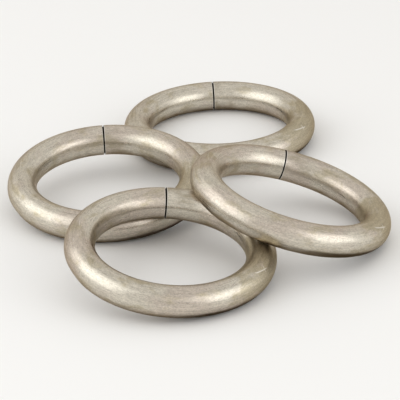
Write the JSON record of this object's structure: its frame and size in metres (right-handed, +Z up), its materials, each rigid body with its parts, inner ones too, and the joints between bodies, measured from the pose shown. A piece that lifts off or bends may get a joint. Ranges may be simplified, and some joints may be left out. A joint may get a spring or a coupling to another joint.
{
  "type": "wreath frame",
  "caption": "Bent steel tube rings, each butted over an inner joiner sleeve, lying in a leaning pile; bases on which wreaths are wrapped.",
  "frame": {"origin": "on the floor under the middle of the back ring, which lies flat", "axes": "+Z up, square to the floor; +Y from the front ring towards the back ring; +X towards the right ring"},
  "size_m": [0.3821, 0.5355, 0.0824],
  "materials": {
    "ring_steel": "satin",
    "sleeve_steel": "matte"
  },
  "bodies": {
    "back_ring": {"back_ring_tube": "ring_steel", "back_ring_joiner": "sleeve_steel"},
    "left_ring": {"left_ring_tube": "ring_steel", "left_ring_joiner": "sleeve_steel"},
    "front_ring": {"front_ring_tube": "ring_steel", "front_ring_joiner": "sleeve_steel"},
    "right_ring": {"right_ring_tube": "ring_steel", "right_ring_joiner": "sleeve_steel"}
  },
  "joints": [
    {"name": "left_ring_lift", "type": "slide", "parent": "back_ring", "child": "left_ring", "axis": [0, 0, 1], "range_m": [0, 0.08]},
    {"name": "front_ring_lift", "type": "slide", "parent": "left_ring", "child": "front_ring", "axis": [0, 0, 1], "range_m": [0, 0.08]},
    {"name": "right_ring_lift", "type": "slide", "parent": "front_ring", "child": "right_ring", "axis": [0, 0, 1], "range_m": [0, 0.08]}
  ]
}
